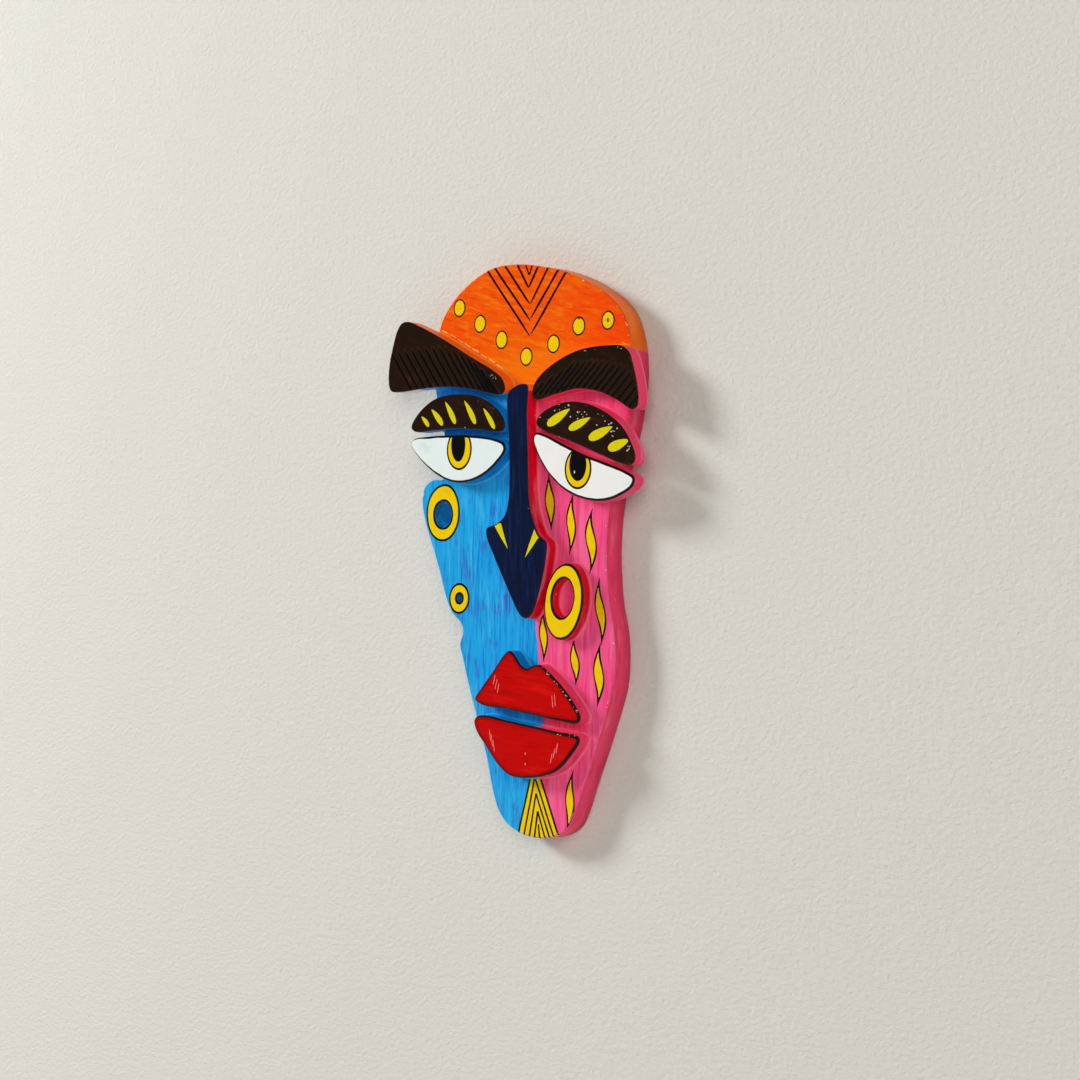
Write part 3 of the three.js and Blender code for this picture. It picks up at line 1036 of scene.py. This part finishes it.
# The orange ends at a height that rises to both sides, from this far off the middle.
ORANGE_EDGE = (80.5, 81.7)
ORANGE_MIDDLE = 10
ORANGE_RISE = 0.25
# The blue ends near the middle, further right going down, and back to the left below the lips.
BLUE_EDGE = (-2.4, -1.6)
BLUE_LEAN = 0.11
LIPS_FOOT = -95
CHIN_LEAN = -0.26


def zones(p):
    """Masks of the forehead's orange and of the left side's blue, with hand-painted edges."""
    waver = (p.noise(7, seed=1) - 0.5) * 2.0
    away = p.math("MAXIMUM", p.math("ABSOLUTE", p.x) - ORANGE_MIDDLE, 0)
    orange = p.ramp(p.z + waver + away * -ORANGE_RISE, *ORANGE_EDGE)
    lean = p.math("MAXIMUM", -p.z, 0) * BLUE_LEAN
    chin_lean = p.math("MAXIMUM", -p.z + LIPS_FOOT, 0) * CHIN_LEAN
    blue = p.ramp(lean + chin_lean + waver - p.x, *BLUE_EDGE)
    return orange, blue


def by_zone(p, orange, blue, pink):
    """One colour for each zone."""
    on_forehead, on_left = zones(p)
    return p.mix(on_forehead, p.mix(on_left, pink, blue), orange)


def front_paint(p):
    """The board's front: brushed orange, blue and pink."""
    low_forehead = p.ramp(p.z, 112, 92)
    right = p.ramp(p.x, 20, 70)
    orange = p.brush(rgb(255, 92, 0), [
        (rgb(255, 142, 14), (15, 15, 2.6), 0.24, 3.1, 0.46, 0.7, 0.65),
        (rgb(244, 56, 2), (13, 13, 1.6), 0.3, 4.2, 0.48, 0.7, 0.65),
        (rgb(226, 52, 4), (5, 5, 0.5), 0.34, 5.3, 0.55, 0.74, 0.4),
        (rgb(255, 166, 52), (5, 5, 0.5), 0.16, 6.3, 0.58, 0.74, 0.5),
    ])
    orange = p.mix(low_forehead * 0.5, orange, rgb(255, 146, 12))
    orange = p.mix(right * 0.55, orange, rgb(255, 52, 0))
    blue = p.brush(rgb(30, 172, 242), [
        (rgb(84, 204, 246), (2.2, 20, 26), 0, 6.1, 0.48, 0.68, 0.5),
        (rgb(10, 128, 218), (1.6, 20, 26), 0.05, 7.7, 0.5, 0.66, 0.7),
        (rgb(18, 100, 196), (0.8, 20, 14), 0.02, 3.3, 0.58, 0.7, 0.6),
    ])
    patches = p.ramp(p.noise((10, 20, 15), seed=2.4), 0.52, 0.66) * p.ramp(p.x, -74, -56)
    bristles = p.ramp(p.noise((0.9, 20, 11), -0.04, 8.4, 3), 0.4, 0.6)
    blue = p.mix(patches * bristles * 0.85, blue, rgb(66, 96, 200))
    pink = p.brush(rgb(255, 88, 148), [
        (rgb(255, 132, 176), (2.8, 20, 40), 0, 9.2, 0.46, 0.68, 0.5),
        (rgb(250, 50, 116), (1.8, 20, 26), 0.06, 10.6, 0.5, 0.68, 0.65),
    ])
    return by_zone(p, orange, blue, pink)


def side_paint(p, pink=rgb(248, 66, 112), deep_pink=rgb(214, 34, 66)):
    """Deeper coats on all the cut sides, brushed along Y, rubbed pale in places."""
    orange = p.brush(rgb(252, 112, 16), [(rgb(252, 140, 56), (16, 9, 16), 0, 2.4, 0.45, 0.7, 0.7)])
    blue = p.brush(rgb(2, 136, 208), [(rgb(34, 178, 236), (16, 7, 16), 0, 3.8, 0.45, 0.7, 0.7)])
    pink = p.brush(pink, [
        (rgb(255, 130, 168), (20, 5, 24), 0, 4.4, 0.5, 0.75, 0.65),
        (deep_pink, (14, 6, 18), 0, 5.9, 0.52, 0.75, 0.6),
    ])
    rubbed = p.ramp(p.noise((3, 1.2, 3), seed=7.1, detail=5), 0.69, 0.76) * 0.4
    return p.mix(rubbed, by_zone(p, orange, blue, pink), rgb(240, 206, 206))


def painted_foot_highlight(p, colour):
    """Painted highlight: a paler band in the corner where a relief piece meets the board, standing in for
    the light its pooled fillet catches.
    """
    pooled = p.ramp(p.y, BOARD_FRONT - 1.5, BOARD_FRONT - 0.5)
    pale = by_zone(p, rgb(250, 160, 66), rgb(70, 196, 240), rgb(255, 132, 172))
    return p.mix(pooled * 0.6, colour, pale)


def worn_rim(p, colour, amount):
    """Bare specks along the front edge. More of them where amount is lower."""
    on_edge = p.ramp(p.rim, 0.1, 0.5) * p.ramp(p.rim, 1.9, 1.3)
    speck = p.ramp(p.noise(2.3, seed=6.3), amount, amount + 0.05) * on_edge
    return p.mix(speck, colour, rgb(236, 214, 196)), speck


def dish_mask(p):
    """1 in the dishes of the left cheek's rings."""
    mask = None
    for _, _, (x, z), (wide, high), _ in LEFT_RINGS:
        across = (p.x - x) * (1 / wide)
        up = (p.z - z) * (1 / high)
        one = p.ramp(p.math("SQRT", across * across + up * up), 1.02, 0.96)
        mask = p.math("MAXIMUM", mask, one) if mask else one
    return mask


def board_paint():
    p = Paint("board_paint")
    on_side = p.ramp(p.rim + p.noise(5, seed=2) * 0.5, 0.55, 0.2)
    # Painted shade: the cut sides darken towards the wall, standing in for the contact shadow there.
    painted_wall_shade = p.ramp(p.y, -8, -0.5) * 0.35
    side = p.mix(painted_wall_shade, side_paint(p), by_zone(p, rgb(176, 70, 10), rgb(4, 86, 150), rgb(150, 20, 48)))
    colour = p.mix(on_side, front_paint(p), side)
    dish_blue = p.brush(rgb(4, 84, 146), [(rgb(8, 128, 196), 5, 0, 1.3, 0.5, 0.7, 0.6)])
    colour = p.mix(dish_mask(p), colour, dish_blue)
    under_stripes = p.ramp(p.z, -146.5, -147.5) * p.ramp(p.rim, -0.3, 0.1)
    under_stripes = under_stripes * (p.ramp(p.x, -7, -6) * p.ramp(p.x, 24.5, 23.5))
    colour = p.mix(under_stripes, colour, rgb(226, 190, 10))
    colour, speck = worn_rim(p, colour, 0.66)
    height = p.noise((1.4, 8, 14), detail=3) * 0.7 + p.noise(1.1, seed=4) * 0.3 + speck * -1.5
    return p.finish(colour, 0.3 + p.noise(9, seed=8) * 0.2, height)


def bare_wood():
    """The unpainted back of each plate, with sawn grain and the front's paint run over its edge."""
    p = Paint("bare_wood")
    grain = p.noise((1.6, 6, 60), 0.03, 2.0, 4)
    ring = p.noise((7, 12, 140), 0.05, 5.0, 2)
    colour = p.mix(p.ramp(grain, 0.35, 0.7), rgb(206, 170, 124), rgb(168, 126, 82))
    colour = p.mix(p.ramp(ring, 0.5, 0.7) * 0.5, colour, rgb(142, 98, 60))
    colour = p.mix(p.ramp(p.noise(30, seed=9), 0.5, 0.8) * 0.3, colour, rgb(120, 88, 62))
    reach = p.rim + p.noise(6, seed=3.3, detail=4) * 7
    overrun = p.ramp(reach, BOARD_FRONT + 0.7, BOARD_FRONT + 2.2)
    colour = p.mix(overrun, colour, side_paint(p))
    return p.finish(colour, 0.5 + grain * 0.3, grain + overrun * 0.3, 0.2)


def outlined(p, colour, ink, width, soft_edge=0.14):
    """A hand-drawn line of ink along the edge of the front."""
    shake = (p.noise(5, seed=7) - 0.5) * 0.5
    line = p.ramp(p.rim + shake - width, ARC + soft_edge, ARC - soft_edge)
    return p.mix(line, colour, ink)


BOARD_LEFT = -75  # beyond it the undersides of the left brow, lid and eye show their primer


def relief_finish(p, colour, wear=0.72, over_edge=0.35, roughness=0.3, sides=None):
    """A relief piece: its own colour on the front, the zone's colour on its sides, worn at the edge."""
    on_side = p.ramp(p.rim + p.noise(4, seed=2) * 0.4, over_edge + 0.35, over_edge)
    colour, speck = worn_rim(p, colour, wear)
    # The sides get a painted highlight along their foot, where they meet the board.
    side = painted_foot_highlight(p, sides or side_paint(p))
    normal = p.split(p.node("ShaderNodeNewGeometry").outputs["Normal"])
    overhang = p.ramp(normal[2], -0.2, -0.5) * p.ramp(p.x, BOARD_LEFT, BOARD_LEFT - 2)
    side = p.mix(overhang, side, rgb(232, 220, 208))
    height = p.noise(1.6, detail=3) + p.noise((1.2, 6, 9), 0.2, 3) * 0.8 + speck * -1.2
    return p.finish(p.mix(on_side, colour, side), roughness + p.noise(8, seed=8) * 0.18, height, 0.08)


def brow_paint():
    p = Paint("brow_paint")
    colour = p.brush(rgb(31, 16, 4), [
        (rgb(50, 28, 10), (14, 14, 4), 0.5, 2.0, 0.5, 0.75, 0.6),
        (rgb(92, 34, 8), (12, 12, 4), 0.5, 4.0, 0.6, 0.78, 0.5),
    ])
    # Painted light on the carved grooves: the paler brown along their edges is painted highlight, and the
    # black in them is painted shade.
    colour = p.mix(p.ramp(p.groove, 0.01, 0.12) * 0.45, colour, rgb(70, 38, 12))
    colour = p.mix(p.ramp(p.groove, 0.12, 0.45), colour, rgb(4, 3, 3))
    return relief_finish(p, colour, wear=0.76, roughness=0.36)


def lid_paint():
    p = Paint("lid_paint")
    colour = p.brush(rgb(35, 18, 7), [
        (rgb(64, 30, 18), (12, 12, 3), 0.3, 6.0, 0.5, 0.75, 0.6),
        (rgb(16, 9, 6), 6, 0, 1.0, 0.55, 0.75, 0.7),
    ])
    return relief_finish(p, colour, wear=0.71, roughness=0.34)


def eye_paint():
    """White with a pen line, which runs out along the thin end of the left eye."""
    p = Paint("eye_paint")
    colour = p.mix(p.ramp(p.x, 5, -5), rgb(252, 252, 250), rgb(240, 252, 252))
    colour = p.brush(colour, [
        (rgb(206, 232, 236), 11, 0, 2.0, 0.6, 0.8, 0.5),
        (rgb(214, 210, 196), 1.3, 0, 5.0, 0.76, 0.82, 0.5),
    ])
    colour = outlined(p, colour, rgb(14, 12, 12), 0.35 + p.ramp(p.x, -64, -84) * -0.7)
    return relief_finish(p, colour, wear=0.9, over_edge=0.1, roughness=0.24)


CRIMSON = rgb(226, 8, 44)
DEEP_CRIMSON = rgb(178, 4, 24)


def nose_paint():
    p = Paint("nose_paint")
    colour = p.brush(rgb(8, 22, 56), [
        (rgb(24, 48, 104), (2.6, 9, 30), 0, 3.0, 0.5, 0.75, 0.7),
        (rgb(6, 12, 34), (4, 9, 26), 0, 4.0, 0.5, 0.75, 0.7),
    ])
    return relief_finish(p, colour, wear=0.79, sides=side_paint(p, CRIMSON, DEEP_CRIMSON))


def lip_paint():
    """Red, darker along its edge, with a line that is wider on the right."""
    p = Paint("lip_paint")
    colour = p.brush(rgb(204, 0, 0), [
        (rgb(232, 18, 8), (26, 9, 3), 0.12, 3.0, 0.5, 0.72, 0.7),
        (rgb(150, 4, 4), (30, 9, 2.6), 0.1, 5.0, 0.55, 0.75, 0.7),
    ])
    colour = p.mix(p.ramp(p.rim, ARC + 2.6, ARC + 0.4) * 0.5, colour, rgb(120, 6, 6))
    colour = outlined(p, colour, rgb(40, 14, 10), 0.1 + p.ramp(p.x, 10, 42) * 0.75, 0.25)
    return relief_finish(p, colour, wear=0.74, over_edge=0.1, roughness=0.24)


def ring_paint():
    p = Paint("ring_paint")
    colour = p.brush(rgb(252, 214, 6), [(rgb(240, 188, 4), (9, 9, 5), 0.2, 3.0, 0.5, 0.75, 0.6)])
    colour = outlined(p, colour, rgb(12, 9, 8), 0.3)
    return relief_finish(p, colour, wear=0.85, over_edge=0.1, sides=side_paint(p, CRIMSON, DEEP_CRIMSON))


def line_paint(name, colour, streak):
    """A thin brushed coat."""
    p = Paint(name)
    colour = p.brush(colour, [(streak, (6, 6, 1.6), 0.2, 2.0, 0.5, 0.75, 0.6)])
    return p.finish(colour, 0.24 + p.noise(6) * 0.2, p.noise(1.2, detail=3), 0.05)


def steel():
    """Bright zinc plate, lightly scuffed."""
    p = Paint("hanger_steel")
    p.put(p.shader.inputs["Metallic"], 1.0)
    scuff = p.noise((0.6, 0.6, 4), 0.1, 1.0, 4)
    colour = p.mix(p.ramp(p.noise(2.4, seed=5), 0.45, 0.7), rgb(190, 192, 196), rgb(150, 154, 158))
    colour = p.mix(p.ramp(scuff, 0.6, 0.8) * 0.5, colour, rgb(104, 100, 92))
    return p.finish(colour, 0.26 + scuff * 0.25, scuff, 0.03)


# ---------------------------------------------------------------- hanger

RING_CORNER = 1.5
WIRE_SIDES = 20


def hanger_ring(metal):
    """The closed wire loop that hangs on the nail: a straight bar, round corners and a round top."""
    low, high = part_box("hanger_ring")
    wire = (high.y - low.y) / MM / 2
    half = high.x / MM - wire
    bar = low.z / MM + wire
    corner = RING_CORNER
    shoulder = high.z / MM - wire - half
    arcs = [
        ((half - corner, bar + corner), corner, -90, 0, 10),
        ((0, shoulder), half, 0, 180, 48),
        ((corner - half, bar + corner), corner, 180, 270, 10),
    ]
    line = []
    for (x, z), radius, first, last, steps in arcs:
        for angle in np.radians(np.linspace(first, last, steps + 1)):
            line.append((x + radius * math.cos(angle), z + radius * math.sin(angle)))
    line = evenly(np.array(line), 0.7)
    side = outward(line)
    y = (low.y + high.y) / MM / 2
    body = Body()
    around = [2 * math.pi * k / WIRE_SIDES for k in range(WIRE_SIDES)]
    rows = [body.points(line + side * wire * math.cos(a), y + wire * math.sin(a)) for a in around]
    for a, b in zip(rows, rows[1:] + rows[:1]):
        body.band(a, b)
    piece = body.build("hanger_ring_wire", [metal])
    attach(piece, "hanger_ring")
    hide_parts("hanger_ring")
    return piece


STEEL_BEVEL = 0.12
STEEL_SHARP = math.radians(35)


def carried_over(node, metal):
    """A CAD node's shape with softened edges, as its own piece."""
    mesh = bmesh.new()
    mesh.from_mesh(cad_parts[node].data)
    bmesh.ops.remove_doubles(mesh, verts=mesh.verts, dist=0.001 * MM)
    bmesh.ops.dissolve_limit(mesh, angle_limit=math.radians(1), verts=mesh.verts, edges=mesh.edges)
    data = bpy.data.meshes.new(node + "_steel")
    mesh.to_mesh(data)
    mesh.free()
    data.materials.append(metal)
    piece = linked(node + "_steel", data)
    soften = piece.modifiers.new("edges", "BEVEL")
    soften.width = STEEL_BEVEL * MM
    soften.segments = 3
    soften.limit_method = "ANGLE"
    soften.angle_limit = STEEL_SHARP
    data.shade_smooth()
    data.set_sharp_from_angle(angle=STEEL_SHARP)
    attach(piece, "mask")
    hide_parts(node)
    return piece


# ---------------------------------------------------------------- room, light and camera

def sheet_of(name, loops, place, material):
    """A flat stage piece. place turns a plan point into x, y and z in mm."""
    loops = [np.array(loop, float) for loop in loops]
    points = np.vstack(loops)
    mesh = bpy.data.meshes.new(name)
    mesh.from_pydata([tuple(c * MM for c in place(*p)) for p in points], [], fill(loops, NO_POINTS))
    mesh.materials.append(material)
    piece = linked(name, mesh)
    return piece


def plaster():
    """A pale rolled wall, clear from behind so that the back of the mask can be seen."""
    p = Paint("wall_plaster")
    stipple = p.noise((3.2, 3.2, 2.2), detail=3) + p.noise(1.3, seed=3, detail=2) * 0.4
    spot = p.ramp(p.noise(4, seed=6), 0.74, 0.8) * 0.12
    material = p.finish(p.mix(spot, rgb(228, 227, 221), rgb(190, 184, 172)), 0.8, stipple, 0.6)
    clear = p.node("ShaderNodeBsdfTransparent").outputs[0]
    behind = p.node("ShaderNodeNewGeometry").outputs["Backfacing"]
    shown = p.node("ShaderNodeMixShader", {0: behind, 1: p.shader.outputs[0], 2: clear}).outputs[0]
    p.put(p.tree.nodes["Material Output"].inputs["Surface"], shown)
    return material


def floor_paint():
    p = Paint("floor_paint")
    colour = p.mix(p.noise(300) * 0.25, rgb(226, 224, 219), rgb(214, 212, 206))
    return p.finish(colour, 0.7, p.noise(6), 0.1)


WALL_GAP = 0.4  # behind the board's back
WALL_SIZE = 2600
FLOOR_DROP = 1100
OPENING_INSET = 2  # inside the board's outline, so that the wall still meets the board all round
AMBIENT = 0.1
BACKDROP = 0.62  # how bright the empty room looks behind the object


def square(half):
    """A square outline round the origin."""
    return [(-half, -half), (half, -half), (half, half), (-half, half)]


def room():
    """The wall and the floor, and the light that comes from all round."""
    outline = OUTLINES["face_board"][0]
    opening = evenly(outline - outward(outline) * OPENING_INSET, 3)
    wall = sheet_of("wall", [square(WALL_SIZE), opening], lambda x, z: (x, WALL_GAP, z), plaster())
    floor = sheet_of("floor", [square(2 * WALL_SIZE)], lambda x, y: (x, y, -FLOOR_DROP), floor_paint())
    for piece, up in ((wall, Vector((0, -1, 0))), (floor, Vector((0, 0, 1)))):
        if piece.data.polygons[0].normal.dot(up) < 0:
            piece.data.flip_normals()
    world = bpy.data.worlds.new("room")
    world.use_nodes = True
    sky = world.node_tree.nodes["Background"]
    sky.inputs["Color"].default_value = (1, 0.975, 0.94, 1)
    seen = world.node_tree.nodes.new("ShaderNodeLightPath").outputs["Is Camera Ray"]
    strength = world.node_tree.nodes.new("ShaderNodeMapRange")
    strength.inputs["To Min"].default_value = AMBIENT
    strength.inputs["To Max"].default_value = BACKDROP
    world.node_tree.links.new(seen, strength.inputs["Value"])
    world.node_tree.links.new(strength.outputs[0], sky.inputs["Strength"])
    bpy.context.scene.world = world


# Lamps: name, place in metres, width in metres, power in watts, colour, whether it shows in gloss.
LAMPS = [
    ("key", (-2.45, -1.3, 1.3), 0.8, 80, (0.985, 1, 0.995), False),
    ("fill", (2.0, -2.2, 0.9), 2.4, 39, (1, 0.96, 0.91), True),
    ("behind", (0.9, 1.9, 1.1), 1.2, 40, (1, 1, 1), True),
]


def lamps():
    for name, place, width, power, colour, glossy in LAMPS:
        light = bpy.data.lights.new(name, "AREA")
        light.shape = "DISK"
        light.size = width
        light.energy = power
        light.color = colour
        lamp = linked(name, light)
        lamp.location = place
        lamp.visible_glossy = glossy
        lamp.rotation_euler = (-Vector(place)).to_track_quat("-Z", "Y").to_euler()


# The camera stands 45 degrees round to the mask's right and looks slightly up.
CAMERA_PLACE = (0.8488, -0.8511, -0.0423)
CAMERA_PITCH = math.radians(2.24)
CAMERA_LENS = 76.67


def camera():
    data = bpy.data.cameras.new("camera")
    data.lens = CAMERA_LENS
    data.sensor_width = 36
    piece = linked("camera", data)
    piece.location = CAMERA_PLACE
    flat = math.cos(CAMERA_PITCH) * math.sqrt(0.5)
    ahead = Vector((-flat, flat, math.sin(CAMERA_PITCH)))
    piece.rotation_euler = ahead.to_track_quat("-Z", "Y").to_euler()
    bpy.context.scene.camera = piece
    bpy.context.scene.view_settings.view_transform = "Standard"


# ---------------------------------------------------------------- the mask

camera()

wood = bare_wood()
dark_brow, dark_lid, white, red = brow_paint(), lid_paint(), eye_paint(), lip_paint()
PLATES = [
    ("face_board", board_paint(), "board_paint"),
    ("brow_left", dark_brow, "dark_paint"),
    ("eyelid_left", dark_lid, "dark_paint"),
    ("eye_left", white, "eye_paint"),
    ("nose", nose_paint(), "nose_paint"),
    ("cheek_ring", ring_paint(), "ring_paint"),
    ("upper_lip", red, "lip_paint"),
    ("brow_right", dark_brow, "dark_paint"),
    ("eyelid_right", dark_lid, "dark_paint"),
    ("eye_right", white, "eye_paint"),
    ("lower_lip", red, "lip_paint"),
]
for node, paint, slot in PLATES:
    plate(node, paint, wood)

ink = line_paint("ink", rgb(9, 7, 8), rgb(24, 18, 22))
yellow = line_paint("yellow_line", rgb(252, 214, 8), rgb(242, 188, 4))
lime = line_paint("lime_line", rgb(232, 218, 16), rgb(206, 200, 10))
pale = line_paint("pale_line", rgb(242, 140, 140), rgb(224, 84, 84))
chalk = line_paint("chalk", rgb(214, 206, 200), rgb(170, 160, 154))
brown = line_paint("brown_line", rgb(150, 84, 12), rgb(96, 48, 8))
# Pale orange paint for the broken pale lines on the forehead.
worn = line_paint("pale_orange", rgb(252, 198, 106), rgb(250, 160, 62))
# Ornament: what draws it, its paints, and the finish that it counts as.
ORNAMENTS = [
    (forehead_ornament, [ink, yellow, brown], "ring_paint"),
    (cheek_ornament, [ink, yellow], "ring_paint"),
    (lid_ornament, [ink, lime], "ring_paint"),
    (iris_ornament, [ink, yellow, chalk], "eye_paint"),
    (nose_ornament, [ink, lime], "ring_paint"),
    (lip_ornament, [pale], "lip_paint"),
    (paint_chips, [chalk], "eye_paint"),
    (pale_lines, [worn], "board_paint"),
]
for draw_on, paints, slot in ORNAMENTS:
    body = Body()
    draw_on(body)
    piece = body.build(draw_on.__name__, paints)
    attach(piece, "mask")

metal = steel()
hanger_ring(metal)
for node in ("hanger_strap", "hanger_screw_upper", "hanger_screw_lower"):
    carried_over(node, metal)

room()
lamps()
